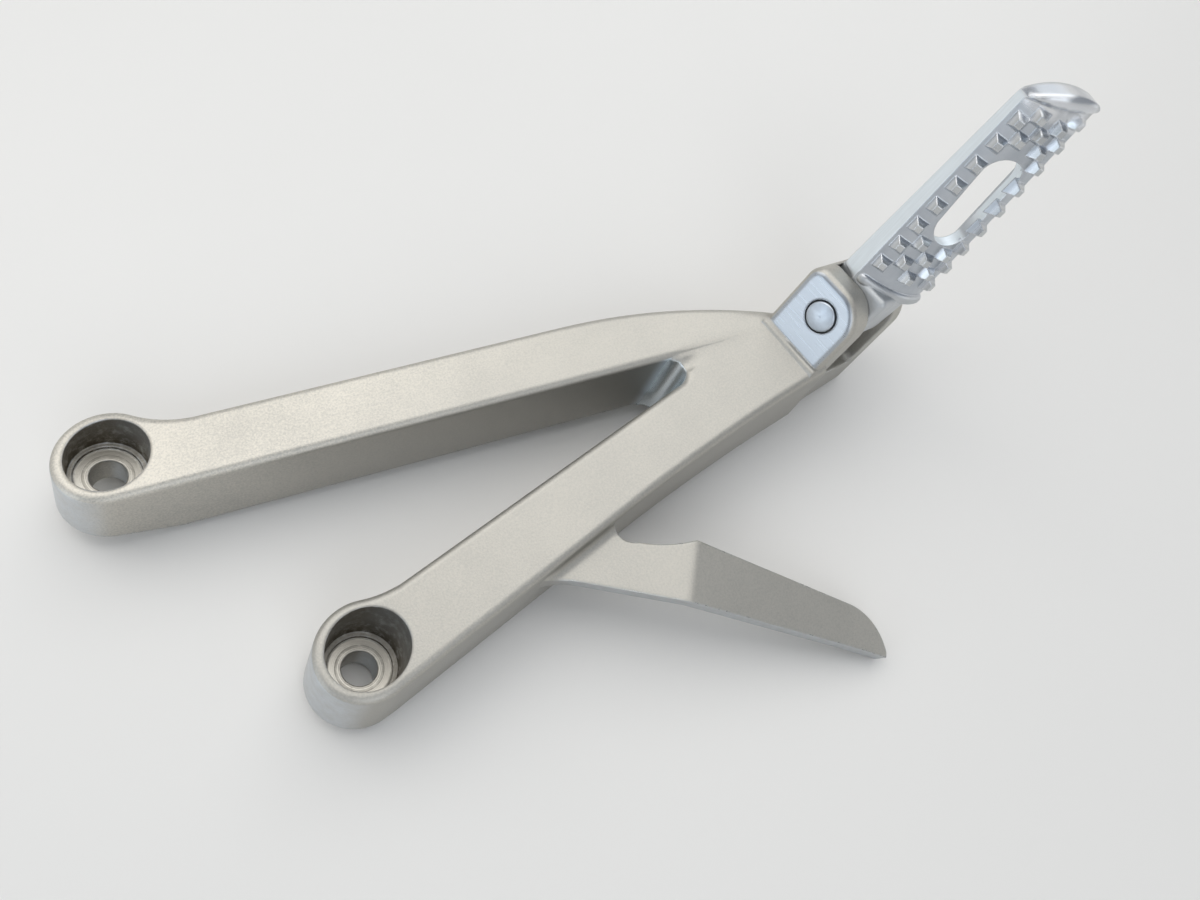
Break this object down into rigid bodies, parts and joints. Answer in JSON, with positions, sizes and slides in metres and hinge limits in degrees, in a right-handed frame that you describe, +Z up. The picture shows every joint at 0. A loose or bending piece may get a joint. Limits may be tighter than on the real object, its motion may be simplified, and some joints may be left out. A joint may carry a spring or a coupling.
{
  "type": "passenger footrest bracket",
  "caption": "Cast aluminium V bracket for a motorbike passenger, with counterbored bolt eyes, a heel guard, a clevis and a studded folding footpeg.",
  "frame": {"origin": "centre of the assembly's box, on the table plane it lies on", "axes": "+Z up from the table on which both mounting pads and the clevis rest; +X from the bolt eyes to the footpeg, along the longest extent"},
  "size_m": [0.2536, 0.1268, 0.0995],
  "materials": {
    "cast_aluminium": "fine blasted satin with machined eye seats and ear faces",
    "polished_aluminium": "polished tread with a matte side face",
    "zinc_steel": "bright zinc plate, lightly worn",
    "spring_steel": "dark oiled spring steel",
    "bearing_steel": "ground and polished"
  },
  "bodies": {
    "frame": {"bracket": "cast_aluminium", "pivot_pin": "zinc_steel", "pin_washer": "zinc_steel", "retaining_clip": "spring_steel"},
    "peg": {"footpeg": "polished_aluminium", "detent_ball": "bearing_steel", "detent_spring": "spring_steel"}
  },
  "joints": [
    {"name": "footpeg_fold", "type": "hinge", "parent": "frame", "child": "peg", "pos_m": [0.08553, 0.0286, 0.02978], "axis": [0.8434, 0.201, -0.4983], "range_deg": [0, 85]}
  ]
}
